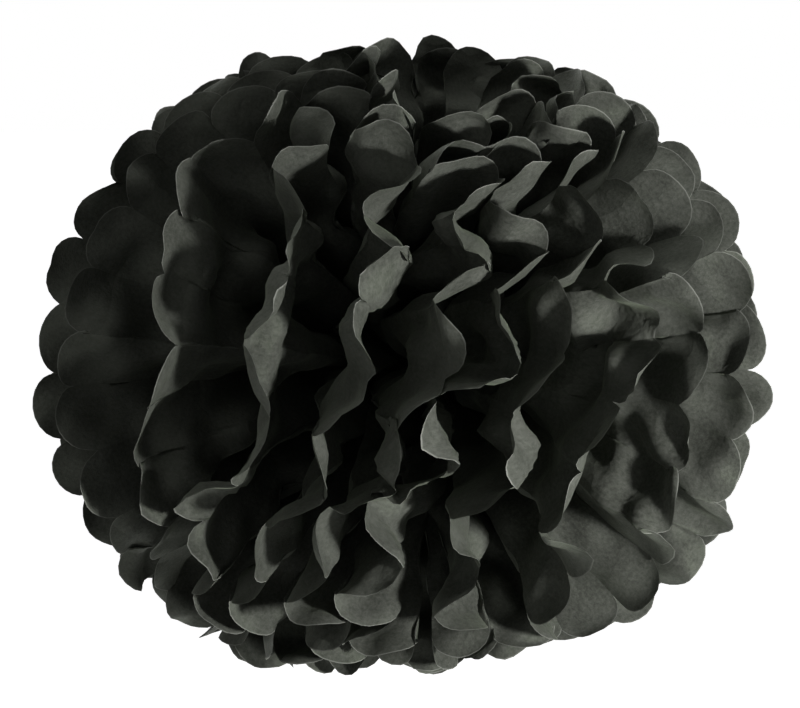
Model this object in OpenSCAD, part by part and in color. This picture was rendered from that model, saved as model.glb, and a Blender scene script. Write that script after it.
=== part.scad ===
// Tissue paper pom-pom: a stack of sheets pleated into one strip, bound with wire round its middle
// and cut round at both ends, then pulled open sheet by sheet into a ball.
// The strip lies along X, and each half of a sheet opens from the tie as a fan that spreads up and
// down. Z runs along the seam between the fans and is up when the ball hangs, and every fan swings
// about it. The ball's front face looks towards -Y. The origin is at the tie.

/* [Ball] */
// Overall width of the open ball
ball_w = 350; // [300:1:420]
// Overall height of the open ball, along the seam
ball_h = 312; // [280:1:380]
// Overall depth of the open ball, from face to face
ball_d = 318; // [280:1:380]

/* [Paper] */
// Pleats across one sheet
pleats = 16; // [12:2:20]
// Width of one pleat, and so of one lobe
pleat_w = 31; // [26:0.5:36]
// How far a lobe's round end stands out past the creases beside it
lobe_h = 12; // [4:0.5:15]
// Thickness of a sheet's solid
paper_t = 0.4; // [0.2:0.1:0.5]

/* [Opening] */
// Angle that the outermost fans spread to, above and below the strip
spread = 84; // [76:1:85]
// Angle that the innermost fans spread to
inner_spread = 52; // [46:1:70]
// How far the end pleats of the innermost fans stay closed
inner_closed = 0.42; // [0:0.02:0.46]
// Lean of the seam on the two faces, at the top of the ball
seam_lean = 25; // [0:1:30]
// Twist of the fans' outer ends about the seam's line, next to the poles
end_twist = 40; // [0:5:40]
// Long waves of the rims from side to side, in which neighbouring sheets follow each other
wave_angle = 6; // [0:0.5:7]
// Shorter waves that lie over the long ones
ripple_angle = 4; // [0:0.5:5]
// How far the sheets' rims are pulled aside from their even places, as a share of what is usual
pull = 1; // [0:0.1:1]
// Most that a sheet wanders from its place
wander = 0.5; // [0:0.1:1.5]
// Unevenness of the creases, as a share of a pleat
unevenness = 0.3; // [0:0.05:0.4]

/* [Tie] */
// Distance of the fans' roots from the seam's own line
axis_gap = 5; // [4.5:0.1:7]
// Radius of a fan's root, round the point that it opens from
root_r = 7.5; // [7:0.1:10]
// Gap between the gathered waist and the fans' roots
seat_gap = 0.3; // [0.2:0.1:0.5]
// Diameter of the binding wire
wire_d = 1; // [0.6:0.1:1.2]
// Turns of wire round the waist
wire_turns = 2; // [2:1:3]
// Clear gap between neighbouring turns and strands
wire_gap = 0.5; // [0.45:0.05:0.6]
// Clearance between the wire and its groove in the waist
groove_gap = 0.2; // [0.1:0.05:0.3]
// Length of the twisted tail, from its first crossing to the eye
tail_l = 28; // [20:1:36]
// Length of one full twist of the tail
twist_l = 8; // [6:1:12]
// Inner radius of the hanging eye
eye_r = 2.5; // [2:0.1:2.8]
// Depth of the flat that is worn into the eye's inside
eye_land = 0.12; // [0.08:0.02:0.2]

/* [Hidden] */
// Sheets in each face of the ball
sheets = 6;
faces = ["front", "back"];
sides = ["right", "left"];
sheet_step = 90 / sheets;
// Angle that each sheet's rim was pulled by, innermost sheet first, in the order of the nodes' names
rim_pull = [
    [[-2.5, -4, -3.5, -2, -1, 0], [3.5, 5, 6.5, 4.5, 2, 0]],
    [[2, 1, 2, 0, -1, 0], [-2, 1, -1, -2, 1, 0]]
];

// Straight edges along one lobe's round end
lobe_steps = 3;
// Share of the reach where a fan's middle row of points lies
middle = 0.5;
// How fast a pleat's width is crushed towards the tie
crush = 0.4;
// Least depth of a pleat, as a share of its width
flat_share = 0.25;
// Most that a pleat swings to either side, at the root, in the middle row and at the rim
root_swing = 2;
middle_swing = 4.6;
rim_swing = 4.2;
// How late the pleats flatten towards the poles
pole_flat = 2.5;
// Height angles between which the fans' ends twist
twist_from = 48;
twist_to = 86;
// Height angles that one long and one shorter wave of the rims take up
wave_span_angle = 85;
ripple_span_angle = 50;
// Turns that the waves shift through from sheet to sheet, once round the ball
wave_turns = -2;
// Spread of the lobes' own reach, as a share of the ball's
reach_spread = 0.03;
// Most that a sheet's lobes drift along the rim
drift = 2;

reach_x = ball_w / 2;
reach_y = ball_d / 2;
reach_z = ball_h / 2 / sin(spread);
reach_mean = (reach_x + reach_y + reach_z) / 3;

$fn = 48;

function fan_name(face, k, side) = str(face, "_fan_", k, "_", side);

// Angle of a fan about the seam's line, from the front towards the right
function fan_angle(face, k, side) =
    let (lift = sheet_step * (k - 0.5), from_front = face == "back" ? 180 - lift : lift)
    side == "left" ? -from_front : from_front;

// Repeatable number from 0 to 1 for a whole number n
function chance(n) = ((((n * 2654435 + 1013904) % 1048576) * 16807) % 1048573) / 1048573;

// Reach of the ball from the seam's line at an angle about it
function reach_at(angle) = 1 / norm([sin(angle) / reach_x, cos(angle) / reach_y]);

// How far sheet k lies from the innermost one, from 0 to 1
function outer_share(k) = (k - 1) / (sheets - 1);

// Height angle of pleat position u on sheet k, whose end pleats stay closed if it is an inner one
function pleat_up(k, u) =
    let (t = 2 * u / pleats - 1, kept = inner_closed * (1 - outer_share(k)))
    (inner_spread + (spread - inner_spread) * outer_share(k)) * ((1 + kept) * t - kept * pow(t, 3));

// Half the angle that a pleat swings through at a share of the reach, from the pleat's own width and
// the height angle that it takes up
function pleat_swing(share, pleat_angle) =
    let (
        width = pleat_w * pow(share, crush),
        arc = reach_mean * share * pleat_angle * PI / 180,
        depth = sqrt(max(pow(width, 2) - pow(arc, 2), pow(flat_share * width, 2))),
        most = lookup(share, [[0, root_swing], [middle, middle_swing], [1, rim_swing]])
    )
    share == 0 ? root_swing : min(most, asin(min(1, depth / 2 / (reach_mean * share))));

// Point of sheet k's fan at an angle, at pleat position u and a share of the reach, on one skin of it
function fan_point(angle, pulled, k, seed, u, share, skin) =
    let (
        i = min(floor(u), pleats - 1),
        v = u - i,
        edge = [for (j = [i, i + 1]) j > 0 && j < pleats ? unevenness * (chance(j) - 0.5) : 0],
        up = pleat_up(k, u + edge[0] * (1 - v) + edge[1] * v) + drift * (2 * chance(seed) - 1) * share,
        zigzag = min(1, pole_flat * cos(up)) * (i % 2 == 0 ? 2 * v - 1 : 1 - 2 * v),
        swing = pleat_swing(share, pleat_up(k, i + 1) - pleat_up(k, i)) * zigzag,
        lean = seam_lean * abs(1 - abs(angle) / 90) * sin(up) * share,
        stray = wander * sin(2 * up + 360 * chance(seed + 1)) * cos(up) * share,
        shift = wave_turns * angle,
        wave = wave_angle * sin(360 * up / wave_span_angle + shift)
            - ripple_angle * sin(360 * up / ripple_span_angle + shift),
        waving = wave * min(1, 2 * cos(up)) * pow(share, 2),
        past = max(0, min(1, (abs(up) - twist_from) / (twist_to - twist_from))),
        twist = sign(up) * end_twist * pow(past, 1.5) * share,
        about = angle + pull * pulled * share + swing + lean + twist + stray + waving,
        full = [(reach_at(angle) - axis_gap) * cos(up), reach_z * sin(up)],
        at = max(share, root_r / norm(full)),
        out = axis_gap + at * full[0],
        turn = about + skin * paper_t / 2 / out * 180 / PI
    )
    [out * sin(turn), -out * cos(turn), at * full[1]];

// Pleat position of the point c of the lobed rim, where the points of a lobe lie on a half circle
function rim_place(c) =
    floor(c / lobe_steps) + (1 - cos(180 * (c % lobe_steps) / lobe_steps)) / 2;

// Share of the reach at pleat position u on the lobed rim
function rim_share(seed, u) =
    let (
        v = u - floor(u),
        round_share = sqrt(max(0, 1 - pow(2 * v - 1, 2))),
        extra = reach_spread * (chance(seed + 10 + floor(u)) - 0.5)
    )
    1 - lobe_h / reach_mean * (1 - round_share) + extra * round_share;

// One fan: half of a sheet, from the tie to its lobed rim
module fan(angle, pulled, k, seed) {
    columns = pleats * lobe_steps;
    skin_points = [for (skin = [-1, 1]) concat(
        [for (i = [0:pleats]) fan_point(angle, pulled, k, seed, i, 0, skin)],
        [for (i = [0:pleats]) fan_point(angle, pulled, k, seed, i, middle, skin)],
        [for (c = [0:columns])
            let (u = rim_place(c))
            fan_point(angle, pulled, k, seed, u, rim_share(seed, u), skin)]
    )];
    row = pleats + 1;
    rim = 2 * row;
    other = len(skin_points[0]);
    half = floor(lobe_steps / 2);
    // triangles of one skin: a strip to the middle row, then a spray of them in each lobe
    skin_faces = [for (i = [0:pleats - 1])
        let (r = rim + i * lobe_steps)
        each concat(
            [[i, i + 1, row + i + 1], [i, row + i + 1, row + i]],
            [for (c = [0:half - 1]) [row + i, r + c + 1, r + c]],
            [[row + i, row + i + 1, r + half]],
            [for (c = [half:lobe_steps - 1]) [row + i + 1, r + c + 1, r + c]]
        )];
    root_edge = [for (i = [0:pleats]) i];
    rim_edge = [for (c = [columns:-1:0]) rim + c];
    outline = concat(root_edge, [row + pleats], rim_edge, [row]);
    edge_faces = [for (e = [0:len(outline) - 1])
        let (a = outline[e], b = outline[(e + 1) % len(outline)])
        each [[b, a, other + a], [b, other + a, other + b]]];
    polyhedron(
        points = concat(skin_points[0], skin_points[1]),
        faces = concat(
            skin_faces,
            [for (f = skin_faces) [other + f[2], other + f[1], other + f[0]]],
            edge_faces
        )
    );
}

// Fan of sheet k on one face of the ball and one side of the seam
module placed_fan(face, k, side) {
    back = face == "back" ? 1 : 0;
    left = side == "left" ? 1 : 0;
    seed = 100 * k + 1000 * back + 2000 * left;
    color([0.13, 0.135, 0.125]) fan(fan_angle(face, k, side), rim_pull[back][left][k - 1], k, seed);
}

knot_r = root_r - seat_gap;
wrap_r = knot_r - wire_d / 2;
groove_r = wrap_r - wire_d / 2 - groove_gap;
wrap_w = wire_turns * (wire_d + wire_gap);
groove_w = wrap_w + wire_d + 2 * groove_gap;

// The sheets' middles, gathered into one knot of pleats with a groove where the wire pulls it in
module gathered_waist() {
    color([0.1, 0.105, 0.1])
        difference() {
            union() {
                cylinder(r = axis_gap, h = 2 * knot_r, center = true);
                rotate_extrude()
                    intersection() {
                        translate([axis_gap, 0]) circle(r = knot_r);
                        translate([axis_gap / 2, -knot_r]) square([axis_gap + knot_r, 2 * knot_r]);
                    }
            }
            rotate([0, 90, 0])
                rotate_extrude()
                    translate([groove_r, -groove_w / 2])
                        square([2 * knot_r + axis_gap, groove_w]);
        }
}

// Angle from straight up at which the wire leaves the waist for its tail
lift_off = 35;
// Height at which the two strands first cross
cross_z = wrap_r / cos(lift_off);
eye_ring_r = eye_r + wire_d / 2 - eye_land;
eye_z = cross_z + tail_l + eye_ring_r;
strand_r = (wire_d + wire_gap) / 2;
// Depth that the strands' ends are let into the eye, as the wire runs on into it
eye_bite = wire_d / 4;
wrap_steps = 24;
tail_steps = 16;
wire_sides = 6;

// One strand of the tail, from the crossing up to the eye
function strand_point(i, hand) =
    let (t = i / tail_steps, turn = 90 + hand * 90 + 360 * t * tail_l / twist_l)
    [strand_r * cos(turn), strand_r * sin(turn), cross_z + wire_d + t * (tail_l - wire_d + eye_bite)];

// The wire's centreline: down one strand, round the waist, and up the other strand
wrap_count = wrap_steps * wire_turns;
wire_line = concat(
    [for (i = [tail_steps:-1:0]) strand_point(i, 1)],
    [for (i = [0:wrap_count])
        let (t = i / wrap_count, turn = lift_off + (360 * wire_turns - 2 * lift_off) * t)
        [wrap_w * (t - 0.5), wrap_r * sin(turn), wrap_r * cos(turn)]],
    [for (i = [0:tail_steps]) strand_point(i, -1)]
);

// Tube along a line of points, whose run is never along X
module tube(line, r, sides) {
    last = len(line) - 1;
    rings = [for (i = [0:last])
        let (
            run = line[min(i + 1, last)] - line[max(i - 1, 0)],
            ahead = run / norm(run),
            across = [1, 0, 0] - ahead[0] * ahead,
            n = across / norm(across),
            b = cross(ahead, n)
        )
        each [for (s = [0:sides - 1]) line[i] + r * (cos(360 * s / sides) * n + sin(360 * s / sides) * b)]];
    polyhedron(
        points = rings,
        faces = concat(
            [for (i = [0:last - 1], s = [0:sides - 1])
                let (a = i * sides + s, b = i * sides + (s + 1) % sides)
                each [[a, a + sides, b + sides], [a, b + sides, b]]],
            [for (s = [1:sides - 2]) [0, s, s + 1]],
            [for (s = [1:sides - 2]) [last * sides, last * sides + s + 1, last * sides + s]]
        )
    );
}

// Least clear gap of the wire to itself, between points that are more than a few steps apart
wire_apart = 8;
least_gap = min([for (i = [0:len(wire_line) - 1 - wire_apart], j = [i + wire_apart:len(wire_line) - 1])
    norm(wire_line[i] - wire_line[j])]) - wire_d;
echo(least_gap_of_wire = least_gap);

// Binding wire: turns round the waist, with both ends twisted together above it
module tie_wire() {
    color([0.25, 0.25, 0.26]) tube(wire_line, wire_d / 2, wire_sides);
}

// Eye at the end of the tail, which a thread or a hook goes through
module hanging_eye() {
    color([0.25, 0.25, 0.26])
        translate([0, 0, eye_z])
            rotate([0, 90, 0])
                difference() {
                    rotate_extrude() translate([eye_ring_r, 0]) circle(d = wire_d);
                    cylinder(r = eye_r, h = 2 * wire_d, center = true);
                }
}

for (face = faces, k = [1:sheets], side = sides)
    placed_fan(face, k, side);
gathered_waist();
tie_wire();
hanging_eye();
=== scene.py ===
import math

import bpy
import numpy as np
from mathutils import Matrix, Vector


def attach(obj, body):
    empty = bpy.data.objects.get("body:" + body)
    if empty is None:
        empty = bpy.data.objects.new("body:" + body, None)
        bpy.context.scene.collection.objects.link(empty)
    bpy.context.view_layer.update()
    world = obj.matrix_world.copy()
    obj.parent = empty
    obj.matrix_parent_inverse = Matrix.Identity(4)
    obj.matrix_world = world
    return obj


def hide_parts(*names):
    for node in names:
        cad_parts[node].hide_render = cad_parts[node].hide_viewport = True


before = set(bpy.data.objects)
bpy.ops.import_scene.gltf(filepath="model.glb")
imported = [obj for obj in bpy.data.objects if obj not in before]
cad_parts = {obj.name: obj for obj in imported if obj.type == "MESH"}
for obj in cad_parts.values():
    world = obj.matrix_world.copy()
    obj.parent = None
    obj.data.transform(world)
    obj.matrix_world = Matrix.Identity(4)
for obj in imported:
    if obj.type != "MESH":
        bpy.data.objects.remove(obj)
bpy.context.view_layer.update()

# Tissue fans. Twelve sheets of black tissue were pleated together into one strip, cut round at both ends
# and gathered at the middle. Each half of a sheet was pulled open into a fan that stands like a page
# round the seam's line. The sheets nearest the seam are spread least, so their rims keep the most slack.
pleats, pleat_w, lobe_h = 16, 0.031, 0.0105
# the seam's line to the tie and to the rims, and the ball's reach to its sides, its front and its top
axis_gap, rim_r = 0.005, 0.163
reach_x, reach_y, reach_z, mean_reach = 0.174, 0.158, 0.154, 0.166
# angles in degrees: from fan to fan, how far up and down a fan spreads, and how open its creases are
fans_in_quarter, fan_step = 6, 15
inner_spread, outer_spread = 52, 88
inner_fold, outer_fold = 115, 172
# the fans near the seam: end pleats half closed, end lobes trimmed, and the front ones waving less
inner_closing, inner_trim, seam_calm = 0.42, 0.07, 0.55
stray, seam_lap = 2, 1.12
# how far each rim is pulled aside, from the fan next to the seam outwards
rim_pull = {
    ("front", "right"): (-2.5, -4, -3.5, -2, -1, 0),
    ("front", "left"): (3.5, 6.5, 7, 4.5, 2, 0),
    ("back", "right"): (2, 1, 2, 0, -1, 0),
    ("back", "left"): (-2, 1, -1, -2, 1, 0),
}
draws = np.random.default_rng(417)
half_sheets = []
outermost = fans_in_quarter - 1
for face in ("front", "back"):
    for side in ("right", "left"):
        for k in range(1, fans_in_quarter + 1):
            # each fan strays a little to one side, by the same reckoning as its solid does
            seed = 100 * k + (1000 if face == "back" else 0) + (2000 if side == "left" else 0)
            drift = ((seed * 2654435 + 1013904) % 1048576 * 16807 % 1048573) / 1048573
            lift = fan_step * (k - 0.5)
            angle = 180 - lift if face == "back" else lift
            angle = -angle if side == "left" else angle
            half_sheets.append({
                "name": f"{face}_fan_{k}_{side}",
                "quarter": (face, side),
                "angle": math.radians(angle),
                "pull": math.radians(rim_pull[face, side][k - 1]),
                "spread": math.radians(inner_spread + (outer_spread - inner_spread) * (k - 1) / outermost),
                "shift": math.radians(stray * (2 * drift - 1)),
                "over_top": seam_lap if (face, k, side) == ("front", 6, "left") else 1.0,
                "over_bottom": seam_lap if (face, k, side) == ("front", 6, "right") else 1.0,
                "closing": inner_closing * (1 - (k - 1) / outermost),
                "rim_fold": inner_fold + (outer_fold - inner_fold) * (k - 1) / outermost,
                "trim": inner_trim if k < 5 else 0.0,
                "calm": seam_calm if face == "front" and k < 3 else 1.0,
            })
half_sheets.sort(key=lambda half: half["angle"])
count = len(half_sheets)


def each(key):
    """One value of every half sheet, shaped to go over its rows and columns."""
    return np.array([half[key] for half in half_sheets])[:, None, None]


def ramp(value, start, length):
    """0 up to the start, and 1 from the start plus the length on."""
    return np.clip((value - start) / length, 0, 1)


# Each half sheet starts as an evenly pleated fan with a wavering rim. Near the tie the creases of all the
# sheets run in step, and further out every sheet goes its own way.
per_pleat = 4
row_share = np.linspace(0.06, 1.04, 20)
column_u = np.arange(pleats * per_pleat + 1) / per_pleat
from_tie = row_share[None, :, None]
pleat_at = column_u[None, None, :]
page_angle = each("angle")
common_spread, common_closing = math.radians(70), 0.2
parted_from, parted_over = 0.2, 0.45
own = ramp(from_tie, parted_from, parted_over)
over_top, over_bottom = each("over_top"), each("over_bottom")
closing = common_closing + (each("closing") - common_closing) * own
from_middle = (pleat_at - pleats / 2) / (pleats / 2)
spread = common_spread + (each("spread") - common_spread) * own
spread = spread * (1 + own * (np.where(from_middle > 0, over_top, over_bottom) - 1))
up = spread * ((1 + closing) * from_middle - closing * from_middle ** 3) + each("shift") * from_tie
turn_per_pleat = spread * (1 + closing - 3 * closing * from_middle ** 2) / (pleats / 2)

# A pleat is as deep as its width leaves it. It is crushed near the tie, kept clear of the seam's line,
# and nearly flat at the rim where the fan is wide open.
nearest, deepest, crushed_to = 0.02, 0.27, 0.4
wide_open, flattening = math.radians(9.5), 0.75
rim_slack = 1.05
pleat_arc = rim_r * from_tie * turn_per_pleat
crushing = np.minimum(1, from_tie / crushed_to) ** 0.5
out = axis_gap + from_tie * (rim_r - axis_gap) * np.cos(up)
depth = np.sqrt(np.maximum((pleat_w * crushing) ** 2 - pleat_arc ** 2, 1e-6)) / 2
depth = np.minimum(depth, deepest * np.maximum(out, nearest))
opened = np.clip(turn_per_pleat / wide_open, 0, 1) ** 2
depth = depth * (1 - flattening * ramp(from_tie, 0.45, 0.4) * opened)
across = np.hypot(pleat_arc, 2 * depth) / per_pleat
across = across + (rim_slack * pleat_w / per_pleat - across) * ramp(from_tie, 0.8, 0.2)

# The fans lean and twist towards the ball's top and bottom, and their rims wave: all sheets together in
# long waves, and each by itself in short ones. One sheet laps over the seam at the top and one at the
# bottom, and shuts it there.
most_lean, most_twist, most_lap = math.radians(25), math.radians(40), math.radians(7.5)
twisted_from, twisted_over = 48, 38
lapped_from, lapped_over = 1.35, 0.2
wave_swing, wave_span = math.radians(6), 85
ripple_swing, ripple_span = math.radians(4), 50
short_waves = ((1.8, 50), (1.5, 28))
lean = most_lean * np.abs(1 - np.abs(page_angle) / (math.pi / 2)) * np.sin(up) * from_tie
twisted = ramp(np.abs(np.degrees(up)), twisted_from, twisted_over) ** 1.5
twist = np.sign(up) * most_twist * twisted * from_tie
lap_way = np.where(over_top > 1, -1, np.where(over_bottom > 1, 1, 0))
twist = twist + most_lap * (ramp(np.abs(up), lapped_from, lapped_over) * lap_way)
wave = wave_swing * np.sin(math.tau * np.degrees(up) / wave_span - 2 * page_angle)
wave = wave - ripple_swing * np.sin(math.tau * np.degrees(up) / ripple_span - 2 * page_angle)
wave = wave * np.minimum(1, 2 * np.cos(up)) * from_tie ** 2
for swing, span in short_waves:
    swings = np.radians(draws.uniform(0.5, 1.3, count) * swing)[:, None, None]
    rates = 360 / draws.uniform(0.75, 1.3, count)[:, None, None] / span
    starts = draws.uniform(0, 6.28, count)[:, None, None]
    wave = wave + each("calm") * swings * np.sin(rates * up + starts) * from_tie ** 2
zig = 1 - 2 * np.abs(pleat_at % 2 - 1)
turn = page_angle + each("pull") * from_tie + lean + twist + wave + zig * depth / np.maximum(out, nearest)
reach = 1 / np.hypot(np.sin(turn) / reach_x, np.cos(turn) / reach_y)
out = axis_gap + from_tie * (reach - axis_gap) * np.cos(up)
paper = np.stack([out * np.sin(turn), -out * np.cos(turn), from_tie * reach_z * np.sin(up)], axis=-1)

# Paper doesn't stretch, so each sheet settles to its flat lengths: along the rows and the columns, across
# both diagonals, and over every second point, which keeps panels flat and opens the creases at the rim.
rounds = 260
tie_fold = 60
# how firmly lengths, diagonals, creases, panels and bends along a pleat are held, and the ball's outline
length_firm, diagonal_firm, crease_firm, panel_firm, bend_firm, outline_firm = 0.9, 0.25, 0.12, 0.7, 0.3, 0.15
# how nearly flat two steps across a panel, two steps along it and a whole panel stay
flat_across, flat_along, flat_panel = 0.999, 0.995, 0.998
# room between neighbours in degrees, how fast it is made, and the height up to which it is asked for
room_in_quarter, room_at_seam, room_firm, most_room = 6.2, 3.0, 0.35, 0.1
top_angle = 1.36
# an angle far beyond every sheet, which stands for no neighbour at that height
nobody, far_off = 9, 5
along = np.diff(row_share)[:, None] * mean_reach
diagonal = np.sqrt(((across[:, :-1, :-1] + across[:, :-1, 1:]) / 2) ** 2 + along ** 2)
column_ids = np.arange(len(column_u))
even, odd = np.arange(0, len(column_u) - 1, 2), np.arange(1, len(column_u) - 1, 2)
row_even, row_odd = np.arange(0, len(row_share) - 1, 2), np.arange(1, len(row_share) - 1, 2)
panel = np.arange(0, pleats * per_pleat, per_pleat)
crease = (column_ids % per_pleat == 0)
fold = np.radians(tie_fold + (each("rim_fold") - tie_fold) * ramp(from_tie, 0.4, 0.4) ** 0.8)
two_steps = np.where(crease, np.sin(fold / 2), flat_across) * 2 * across
column_firm = np.where(crease, crease_firm, panel_firm)
least_room = []
for j in range(count):
    same = half_sheets[j]["quarter"] == half_sheets[(j + 1) % count]["quarter"]
    least_room.append(math.radians(room_in_quarter if same else room_at_seam))
started = paper.copy()
reach_box = np.array([reach_x, reach_y, reach_z])


def hold(a, b, rest, firm, push_only=False):
    """Move the points at two index tuples towards their flat distance."""
    step = paper[b] - paper[a]
    size = np.sqrt((step ** 2).sum(-1))
    off = size - rest
    if push_only:
        off = np.minimum(off, 0)
    step *= (0.5 * firm * off / np.maximum(size, 1e-6))[..., None]
    paper[a] += step
    paper[b] -= step


def in_pairs(start, number):
    """Two points, then two left out, and so on, up to two before the last."""
    return np.sort(np.concatenate([np.arange(start, number - 2, 4), np.arange(start + 1, number - 2, 4)]))


every = slice(None)
for turn_round in range(rounds):
    for first in (even, odd):
        flat_step = (across[:, :, first] + across[:, :, first + 1]) / 2
        hold((every, every, first), (every, every, first + 1), flat_step, length_firm)
    for first in (row_even, row_odd):
        hold((every, first), (every, first + 1), along[first], length_firm)
    for first in (row_even, row_odd):
        upper = first[:, None]
        for c0, c1 in ((column_ids[:-1], column_ids[1:]), (column_ids[1:], column_ids[:-1])):
            a, b = (every, upper, c0[None, :]), (every, upper + 1, c1[None, :])
            hold(a, b, diagonal[:, first], diagonal_firm)
    for start in (0, 2):
        ids = in_pairs(start, len(column_u))
        a, b = (every, every, ids), (every, every, ids + 2)
        hold(a, b, two_steps[:, :, ids + 1], column_firm[ids + 1], True)
        ids = in_pairs(start, len(row_share))
        hold((every, ids), (every, ids + 2), (along[ids] + along[ids + 1]) * flat_along, bend_firm, True)
    for first in (panel[::2], panel[1::2]):
        panel_w = per_pleat * across[:, :, first + 2] * flat_panel
        hold((every, every, first), (every, every, first + per_pleat), panel_w, panel_firm, True)
    # the ball's outline, and room between neighbouring sheets
    rho = np.sqrt(((paper / reach_box) ** 2).sum(-1))
    paper *= (1 + outline_firm * (from_tie / rho - 1))[..., None]
    if turn_round % 3 == 0:
        about = np.arctan2(paper[..., 0], -paper[..., 1])
        about = page_angle + (about - page_angle + math.pi) % (2 * math.pi) - math.pi
        height = np.arctan2(paper[..., 2] / reach_z, np.hypot(paper[..., 0], paper[..., 1]) / mean_reach)
        room = np.zeros_like(about)
        for j in range(count):
            n = (j + 1) % count
            beyond = 2 * math.pi if n == 0 else 0
            for r in range(2, len(row_share)):
                order = np.argsort(height[n, r])
                other = np.interp(height[j, r], height[n, r][order], about[n, r][order], -nobody, nobody)
                other = np.where(other + beyond < -far_off, nobody, other + beyond)
                room[j, r] -= np.clip(least_room[j] - (other - about[j, r]), 0, most_room)
                order = np.argsort(height[j, r])
                other = np.interp(height[n, r], height[j, r][order], about[j, r][order], -nobody, nobody)
                other = np.where(other - beyond > far_off, -nobody, other - beyond)
                room[n, r] += np.clip(least_room[j] - (about[n, r] - other), 0, most_room)
        move = room_firm * np.where(np.abs(height) > top_angle, 0, room)
        cos, sin = np.cos(move), np.sin(move)
        paper[..., 0], paper[..., 1] = (paper[..., 0] * cos - paper[..., 1] * sin,
                                        paper[..., 0] * sin + paper[..., 1] * cos)
    paper[:, :2] = started[:, :2]

# The ball isn't quite even: it is a little dented beside the foot of the seam and at its shoulders. Each
# dent or swell has its place round the outline and its width, in degrees, and its depth.
dents = ((287, 12, -0.09), (262, 12, 0.045), (331, 12, 0.04), (76, 12, -0.04), (104, 10, -0.035))
around = np.degrees(np.arctan2(paper[..., 2], paper[..., 0]))
swell = 0
for dent_at, width, amount in dents:
    swell = swell + amount * np.exp(-(((around - dent_at + 180) % 360 - 180) / width) ** 2)
broad = (paper[..., 0] ** 2 + paper[..., 2] ** 2) / (paper ** 2).sum(-1)
paper *= (1 + swell * broad ** 2 * from_tie ** 2)[..., None]


def weights(t):
    """Weights of four neighbouring points for a smooth curve through the middle two."""
    return (-0.5 * t + t ** 2 - 0.5 * t ** 3, 1 - 2.5 * t ** 2 + 1.5 * t ** 3,
            0.5 * t + 2 * t ** 2 - 1.5 * t ** 3, -0.5 * t ** 2 + 0.5 * t ** 3)


# Each fan's lobed rim is cut from its settled sheet, and every lobe curls a little by itself. The grid
# follows the creases, with columns close together at the notches and rows close together at the rim.
steps = 12
cell_places = (1 - np.cos(np.pi * np.arange(steps) / steps)) / 2
fine_u = np.append((np.arange(pleats)[:, None] + cell_places).ravel(), pleats)
row_q = 1 - (1 - np.linspace(0, 1, 36)) ** 1.3
u, q = np.meshgrid(fine_u, row_q)
rows, columns = u.shape
cell = np.minimum(u.astype(int), pleats - 1)
v = u - cell
roundness = np.sqrt(np.clip(1 - (2 * v - 1) ** 2, 0, 1))
corner_cut = np.where((u < 0.5) | (u > pleats - 0.5), 2, 1)
trimmed = np.clip(1 - u, 0, 1) ** 2 + np.clip(u - pleats + 1, 0, 1) ** 2
lobe_middles = np.arange(pleats) + 0.5
corner = (np.arange(rows - 1)[:, None] * columns + np.arange(columns - 1)).ravel()
quads = np.stack([corner, corner + 1, corner + columns + 1, corner + columns], axis=-1)
sway_from, curl_from = 0.78, 0.92
curl_usual, curl_strong, curl_at_notch = 16, 38, 0.4
least_curl, least_off_axis = 0.1, 0.3
crumple_count, crumple_depth, crumple_bend = 5, 0.019, 0.35
lobe_roughness = [0.5, 1, 1, 2.4]
sways = [(draws.uniform(2, 6), draws.uniform(0.9, 2.6), draws.uniform(0, 6.28)) for _ in range(3)]
fans = []
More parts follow.
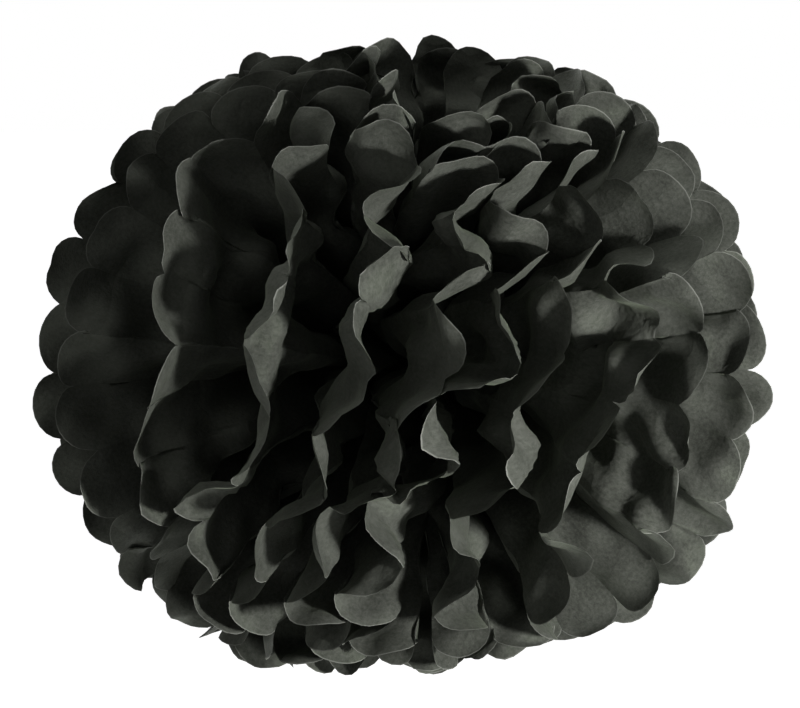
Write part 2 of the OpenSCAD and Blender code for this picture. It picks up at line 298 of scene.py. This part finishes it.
for index, half in enumerate(half_sheets):
    rim = 1 - half["trim"] * trimmed - corner_cut * lobe_h / rim_r * (1 - roundness)
    rim = rim + draws.uniform(-0.015, 0.02, pleats)[cell] * roundness
    share = row_share[0] + (rim - row_share[0]) * q
    # each panel between two creases is smooth by itself, so the creases stay crisp
    panels = []
    for first in panel:
        part = paper[index][:, first:first + per_pleat + 1]
        before, behind = 2 * part[:, :1] - part[:, 1:2], 2 * part[:, -1:] - part[:, -2:-1]
        panels.append(np.concatenate([before, part, behind], axis=1))
    panels = np.concatenate(panels, axis=1)
    on_rows = (share - row_share[0]) / (row_share[1] - row_share[0])
    on_columns = v * per_pleat
    row = np.minimum(on_rows.astype(int), len(row_share) - 2)
    column = np.minimum(on_columns.astype(int), per_pleat - 1)
    row_weights, column_weights = weights(on_rows - row), weights(on_columns - column)
    points = 0
    for di in range(4):
        for dj in range(4):
            at_row = np.clip(row + di - 1, 0, len(row_share) - 1)
            at_column = cell * (per_pleat + 3) + column + dj
            points = points + (row_weights[di] * column_weights[dj])[..., None] * panels[at_row, at_column]
    normal = np.cross(np.gradient(points, axis=1), np.gradient(points, axis=0))
    normal /= np.maximum(np.linalg.norm(normal, axis=-1, keepdims=True), 1e-9)
    outward = np.gradient(points, axis=0)
    outward /= np.maximum(np.linalg.norm(outward, axis=-1, keepdims=True), 1e-9)
    # the rim sways over several lobes, and lobes curl one by one, less so at the ball's top and bottom
    sway = sum(size * np.sin(u * rate + start - 2 * half["angle"]) for size, rate, start in sways)
    lobe = draws.normal(0, curl_usual, pleats) + curl_strong * draws.choice([-1, 0, 0, 0, 0, 0, 1], pleats)
    curl = np.interp(u, lobe_middles, lobe) * (curl_at_notch + 0.6 * np.sin(math.pi * v) ** 0.6)
    off_axis = np.hypot(points[..., 0], points[..., 1]) / np.linalg.norm(points, axis=-1)
    curl = curl * np.clip(1.6 * off_axis, least_off_axis, 1)
    for bent_from, rate in ((sway_from, sway), (curl_from, curl)):
        tip = np.maximum(share - bent_from, 0) * rim_r
        rate = np.where(np.abs(rate) < least_curl, least_curl, rate)
        bent = tip * rate
        points = (points + outward * (np.sin(bent) / rate - tip)[..., None]
                  + normal * ((1 - np.cos(bent)) / rate)[..., None])
    # soft crumples run across each other, stronger on some lobes than on others
    crumple = 0
    for _ in range(crumple_count):
        heading, length = draws.uniform(0, 3.14), draws.uniform(0.022, 0.07)
        run = (u * pleat_w * math.cos(heading) + share * rim_r * math.sin(heading)) / length
        bend = u * draws.uniform(0.5, 1.5) + share * draws.uniform(5, 15) + draws.uniform(0, 6.28)
        run = run + crumple_bend * np.sin(bend) + draws.uniform(0, 1)
        crumple = crumple + length * crumple_depth * np.arcsin(0.97 * np.sin(math.tau * run))
    rough = np.interp(u, lobe_middles, draws.choice(lobe_roughness, pleats))
    points = points + normal * (crumple * rough * ramp(share, 0.3, 0.4))[..., None]
    mesh = bpy.data.meshes.new(half["name"] + ".paper")
    mesh.from_pydata(points.reshape(-1, 3).tolist(), [], quads.tolist())
    flat = mesh.uv_layers.new(name="sheet")
    loops = np.empty(len(mesh.loops), dtype=np.int32)
    mesh.loops.foreach_get("vertex_index", loops)
    sheet_at = np.stack([u.ravel() * pleat_w, (share * rim_r).ravel()], axis=-1)
    flat.data.foreach_set("uv", sheet_at[loops].ravel())
    rim_gap = mesh.attributes.new("from_rim", "FLOAT", "POINT")
    rim_gap.data.foreach_set("value", ((rim - share) * rim_r).ravel())
    mesh.shade_smooth()
    edge_ends = np.empty(2 * len(mesh.edges), dtype=np.int32)
    mesh.edges.foreach_get("vertices", edge_ends)
    first_column, last_column = (edge_ends.reshape(-1, 2) % columns).T
    on_crease = (first_column == last_column) & (first_column % steps == 0)
    mesh.attributes.new("sharp_edge", "BOOLEAN", "EDGE").data.foreach_set("value", on_crease)
    fan = bpy.data.objects.new(half["name"] + ".paper", mesh)
    bpy.context.scene.collection.objects.link(fan)
    fans.append(fan)
    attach(fan, half["name"])
    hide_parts(half["name"])

# Crumples of tissue: creased ridges, coarse ones and fine ones, in the sheet's flat coordinates.
paper_crumple = bpy.data.node_groups.new("paper_crumple", "ShaderNodeTree")
paper_crumple.interface.new_socket("Sheet", in_out="INPUT", socket_type="NodeSocketVector")
paper_crumple.interface.new_socket("Height", in_out="OUTPUT", socket_type="NodeSocketFloat")
crumple_in = paper_crumple.nodes.new("NodeGroupInput")
crumple_out = paper_crumple.nodes.new("NodeGroupOutput")


def crumple_math(operation, first, second=None):
    """A math node of the crumples, between outputs or with a number."""
    node = paper_crumple.nodes.new("ShaderNodeMath")
    node.operation = operation
    for socket, value in zip(node.inputs, (first, second)):
        if isinstance(value, float):
            socket.default_value = value
        elif value is not None:
            paper_crumple.links.new(value, socket)
    return node.outputs[0]


ridges = []
for scale, weight in ((22, 1.0), (60, 0.3)):
    hills = paper_crumple.nodes.new("ShaderNodeTexNoise")
    hills.inputs["Scale"].default_value = scale
    hills.inputs["Detail"].default_value = 0.5
    hills.inputs["Distortion"].default_value = 0.4
    paper_crumple.links.new(crumple_in.outputs["Sheet"], hills.inputs["Vector"])
    middle = crumple_math("SUBTRACT", hills.outputs["Fac"], 0.5)
    ridges.append(crumple_math("MULTIPLY", crumple_math("ABSOLUTE", middle), weight))
paper_crumple.links.new(crumple_math("ADD", *ridges), crumple_out.inputs["Height"])

# Grain of tissue: fine fibres with soft clouds between them, in the sheet's flat coordinates.
paper_grain = bpy.data.node_groups.new("paper_grain", "ShaderNodeTree")
paper_grain.interface.new_socket("Sheet", in_out="INPUT", socket_type="NodeSocketVector")
paper_grain.interface.new_socket("Colour", in_out="OUTPUT", socket_type="NodeSocketColor")
paper_grain.interface.new_socket("Fibres", in_out="OUTPUT", socket_type="NodeSocketFloat")
grain_in = paper_grain.nodes.new("NodeGroupInput")
grain_out = paper_grain.nodes.new("NodeGroupOutput")
fibres = paper_grain.nodes.new("ShaderNodeTexNoise")
fibres.inputs["Scale"].default_value = 520
fibres.inputs["Detail"].default_value = 4
fibres.inputs["Roughness"].default_value = 0.75
paper_grain.links.new(grain_in.outputs["Sheet"], fibres.inputs["Vector"])
cloud = paper_grain.nodes.new("ShaderNodeTexNoise")
cloud.inputs["Scale"].default_value = 60
cloud.inputs["Detail"].default_value = 3
paper_grain.links.new(grain_in.outputs["Sheet"], cloud.inputs["Vector"])
mottle = paper_grain.nodes.new("ShaderNodeMix")
mottle.inputs["Factor"].default_value = 0.35
paper_grain.links.new(fibres.outputs["Fac"], mottle.inputs["A"])
paper_grain.links.new(cloud.outputs["Fac"], mottle.inputs["B"])
tone = paper_grain.nodes.new("ShaderNodeValToRGB")
tone.color_ramp.elements[0].position = 0.38
tone.color_ramp.elements[1].position = 0.62
tone.color_ramp.elements[0].color = (0.034, 0.0352, 0.031, 1)
tone.color_ramp.elements[1].color = (0.085, 0.088, 0.0775, 1)
paper_grain.links.new(mottle.outputs["Result"], tone.inputs["Fac"])
paper_grain.links.new(tone.outputs["Color"], grain_out.inputs["Colour"])
paper_grain.links.new(fibres.outputs["Fac"], grain_out.inputs["Fibres"])


def tissue_finish(material, sheet_place, crumple_height):
    """Lay grain and crumples over a tissue's material, and give its shader and its colour."""
    nodes, links = material.node_tree.nodes, material.node_tree.links
    shader = nodes["Principled BSDF"]
    shader.inputs["Specular IOR Level"].default_value = 0.25
    shader.inputs["Specular Tint"].default_value = (0.85, 1, 0.7, 1)
    grain = nodes.new("ShaderNodeGroup")
    grain.node_tree = paper_grain
    links.new(sheet_place, grain.inputs["Sheet"])
    raised_fibres = nodes.new("ShaderNodeBump")
    raised_fibres.inputs["Strength"].default_value = 0.6
    raised_fibres.inputs["Distance"].default_value = 0.0005
    links.new(grain.outputs["Fibres"], raised_fibres.inputs["Height"])
    crumples = nodes.new("ShaderNodeGroup")
    crumples.node_tree = paper_crumple
    links.new(sheet_place, crumples.inputs["Sheet"])
    raised_crumples = nodes.new("ShaderNodeBump")
    raised_crumples.inputs["Strength"].default_value = 1
    raised_crumples.inputs["Distance"].default_value = crumple_height
    links.new(crumples.outputs["Height"], raised_crumples.inputs["Height"])
    links.new(raised_fibres.outputs["Normal"], raised_crumples.inputs["Normal"])
    links.new(raised_crumples.outputs["Normal"], shader.inputs["Normal"])
    return shader, grain.outputs["Colour"]


# Black tissue: thin matt paper with a soft grain of fibres, crumples, and a painted highlight along its rims
# where the edges catch the light.
black_tissue = bpy.data.materials.new("black_tissue")
black_tissue.use_nodes = True
nodes, links = black_tissue.node_tree.nodes, black_tissue.node_tree.links
on_sheet = nodes.new("ShaderNodeUVMap")
on_sheet.uv_map = "sheet"
shader, tissue_colour = tissue_finish(black_tissue, on_sheet.outputs["UV"], crumple_height=0.004)
shader.inputs["Roughness"].default_value = 0.6
shader.inputs["Sheen Weight"].default_value = 0.08
shader.inputs["Sheen Tint"].default_value = (0.85, 1, 0.7, 1)
shader.inputs["Sheen Roughness"].default_value = 0.5
from_rim = nodes.new("ShaderNodeAttribute")
from_rim.attribute_name = "from_rim"
# painted highlight: within about half a millimetre of each rim the colour turns lighter, standing in for
# light that the edges catch
rim_highlight_mask = nodes.new("ShaderNodeMapRange")
rim_highlight_mask.inputs["From Min"].default_value = 0.0001
rim_highlight_mask.inputs["From Max"].default_value = 0.0006
rim_highlight_mask.inputs["To Min"].default_value = 1
rim_highlight_mask.inputs["To Max"].default_value = 0
links.new(from_rim.outputs["Fac"], rim_highlight_mask.inputs["Value"])
painted_rim_highlight = nodes.new("ShaderNodeMix")
painted_rim_highlight.data_type = "RGBA"
painted_rim_highlight.inputs["B"].default_value = (0.205, 0.21, 0.19, 1)
links.new(rim_highlight_mask.outputs["Result"], painted_rim_highlight.inputs["Factor"])
links.new(tissue_colour, painted_rim_highlight.inputs["A"])
links.new(painted_rim_highlight.outputs["Result"], shader.inputs["Base Color"])
for fan in fans:
    fan.data.materials.append(black_tissue)

# The gathered waist: the middles of all the sheets, pleated tissue that the wire crushes together into a
# small barrel, a little inside its solid. It is pinched in at the two sides where the sheets part.
waist_r = 0.0075 - 0.0006
pinched_by, pleat_groove, grooves = 0.12, 0.06, 24
ring_u, ring_v = np.meshgrid(np.linspace(0, math.tau, 144, endpoint=False), np.linspace(-1, 1, 25))
barrel = axis_gap + waist_r * np.sqrt(np.clip(1 - ring_v ** 2, 0, 1))
pinch = 1 - pinched_by * np.exp(-(np.cos(ring_u) / 0.25) ** 2)
pleated = barrel * pinch * (1 - pleat_groove * np.abs(np.sin(grooves * ring_u)))
waist_points = np.stack([pleated * np.cos(ring_u), pleated * np.sin(ring_u), ring_v * waist_r], axis=-1)
ring_ids = np.arange(ring_u.size).reshape(ring_u.shape)
next_ids = np.roll(ring_ids, -1, axis=1)
walls = np.stack([ring_ids[:-1], next_ids[:-1], next_ids[1:], ring_ids[1:]], axis=-1).reshape(-1, 4)
caps = [ring_ids[0, ::-1].tolist(), ring_ids[-1].tolist()]
waist_mesh = bpy.data.meshes.new("waist.pleats")
waist_mesh.from_pydata(waist_points.reshape(-1, 3).tolist(), [], walls.tolist() + caps)
waist_mesh.shade_smooth()
waist = bpy.data.objects.new("waist.pleats", waist_mesh)
bpy.context.scene.collection.objects.link(waist)
crushed_tissue = bpy.data.materials.new("crushed_tissue")
crushed_tissue.use_nodes = True
in_waist = crushed_tissue.node_tree.nodes.new("ShaderNodeTexCoord")
shader, tissue_colour = tissue_finish(crushed_tissue, in_waist.outputs["Object"], crumple_height=0.002)
shader.inputs["Roughness"].default_value = 0.65
crushed_tissue.node_tree.links.new(tissue_colour, shader.inputs["Base Color"])
waist_mesh.materials.append(crushed_tissue)
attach(waist, "tie")
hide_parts("gathered_waist")

# The tie wire and its hanging eye: dark annealed florist's wire, wound twice round the waist and twisted
# into a tail that ends in the eye. Its scale is worn through to bright steel in places.
wire = bpy.data.materials.new("florist_wire")
wire.use_nodes = True
nodes, links = wire.node_tree.nodes, wire.node_tree.links
metal = nodes["Principled BSDF"]
metal.inputs["Metallic"].default_value = 0.9
along_wire = nodes.new("ShaderNodeTexCoord")
scale_spots = nodes.new("ShaderNodeTexNoise")
scale_spots.inputs["Scale"].default_value = 900
scale_spots.inputs["Detail"].default_value = 4
links.new(along_wire.outputs["Object"], scale_spots.inputs["Vector"])
wire_tone = nodes.new("ShaderNodeValToRGB")
wire_tone.color_ramp.elements[0].position = 0.42
wire_tone.color_ramp.elements[1].position = 0.68
wire_tone.color_ramp.elements[0].color = (0.035, 0.034, 0.033, 1)
wire_tone.color_ramp.elements[1].color = (0.22, 0.215, 0.21, 1)
links.new(scale_spots.outputs["Fac"], wire_tone.inputs["Fac"])
links.new(wire_tone.outputs["Color"], metal.inputs["Base Color"])
dull = nodes.new("ShaderNodeMapRange")
dull.inputs["To Min"].default_value = 0.6
dull.inputs["To Max"].default_value = 0.3
links.new(scale_spots.outputs["Fac"], dull.inputs["Value"])
links.new(dull.outputs["Result"], metal.inputs["Roughness"])
drawn = nodes.new("ShaderNodeBump")
drawn.inputs["Strength"].default_value = 0.3
drawn.inputs["Distance"].default_value = 0.0001
links.new(scale_spots.outputs["Fac"], drawn.inputs["Height"])
links.new(drawn.outputs["Normal"], metal.inputs["Normal"])
for name in ("tie_wire", "hanging_eye"):
    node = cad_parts[name]
    node.data.materials.clear()
    node.data.materials.append(wire)

# The studio's floor: a broad matt board, painted pale, well below the hanging ball. It shows as white to
# the camera, and gives the ball only a little light from below.
floor_size, floor_drop = 30, 0.75
bpy.ops.mesh.primitive_plane_add(size=floor_size, location=(0, 0, -floor_drop))
floor = bpy.context.object
floor.name = "floor"
pale_floor = bpy.data.materials.new("pale_floor")
pale_floor.use_nodes = True


def seen_straight(tree):
    """1 for rays that come from the camera, a mirror or glass, which meet plain white."""
    rays = tree.nodes.new("ShaderNodeLightPath")
    seen = rays.outputs["Is Camera Ray"]
    for other in ("Is Glossy Ray", "Is Transmission Ray"):
        either = tree.nodes.new("ShaderNodeMath")
        either.operation = "MAXIMUM"
        tree.links.new(seen, either.inputs[0])
        tree.links.new(rays.outputs[other], either.inputs[1])
        seen = either.outputs[0]
    return seen


pale = pale_floor.node_tree.nodes["Principled BSDF"]
pale.inputs["Base Color"].default_value = (0.9, 0.9, 0.9, 1)
pale.inputs["Roughness"].default_value = 0.9
pale.inputs["Emission Color"].default_value = (1, 1, 1, 1)
glow = pale_floor.node_tree.nodes.new("ShaderNodeMapRange")
glow.inputs["To Min"].default_value = 0.09
glow.inputs["To Max"].default_value = 0.97
pale_floor.node_tree.links.new(seen_straight(pale_floor.node_tree), glow.inputs["Value"])
pale_floor.node_tree.links.new(glow.outputs["Result"], pale.inputs["Emission Strength"])
floor.data.materials.append(pale_floor)

# The studio's backdrop: plain white where the camera, a mirror or glass sees it, and a faint even light
# for everything else.
studio = bpy.data.worlds.new("studio")
bpy.context.scene.world = studio
studio.use_nodes = True
tree = studio.node_tree
faint = tree.nodes["Background"]
faint.inputs["Color"].default_value = (1, 1, 1, 1)
faint.inputs["Strength"].default_value = 0.035
white = tree.nodes.new("ShaderNodeBackground")
white.inputs["Color"].default_value = (1, 1, 1, 1)
white.inputs["Strength"].default_value = 1.0
backdrop = tree.nodes.new("ShaderNodeMixShader")
tree.links.new(seen_straight(tree), backdrop.inputs["Fac"])
tree.links.new(faint.outputs["Background"], backdrop.inputs[1])
tree.links.new(white.outputs["Background"], backdrop.inputs[2])
tree.links.new(backdrop.outputs["Shader"], tree.nodes["World Output"].inputs["Surface"])

# The studio's lamps: a small near key lamp at the right front, which throws the lobes' shadows across the
# folds, a broad weak fill at the left, one lamp above and one behind. All of them point at the ball.
for name, stand, size, power in (
    ("key", (0.34, -0.5, -0.05), 0.05, 3.9),
    ("fill", (-0.95, -0.9, 0.1), 1.0, 0.65),
    ("top", (-0.25, 0.2, 1.3), 0.6, 4.7),
    ("back", (-0.5, 1.3, 0.5), 1.2, 9),
):
    lamp_data = bpy.data.lights.new(name, "AREA")
    lamp_data.size = size
    lamp_data.energy = power
    lamp = bpy.data.objects.new(name, lamp_data)
    lamp.location = stand
    lamp.rotation_euler = (-Vector(stand)).to_track_quat("-Z", "Y").to_euler()
    bpy.context.scene.collection.objects.link(lamp)

# The camera: a long lens, a little above the ball's middle and a little to its left, turned straight
# at it, as the ball was photographed.
lens = bpy.data.cameras.new("camera")
lens.lens = 85
camera = bpy.data.objects.new("camera", lens)
bpy.context.scene.collection.objects.link(camera)
azimuth, elevation, distance = math.radians(-2.7), math.radians(10), 0.9
aimed_at = Vector((-0.0012, 0, 0.0017))
level = math.cos(elevation)
back = Vector((math.sin(azimuth) * level, -math.cos(azimuth) * level, math.sin(elevation)))
camera.location = back * distance + aimed_at
camera.rotation_euler = (-back).to_track_quat("-Z", "Y").to_euler()
bpy.context.scene.camera = camera
bpy.context.scene.view_settings.view_transform = "Standard"
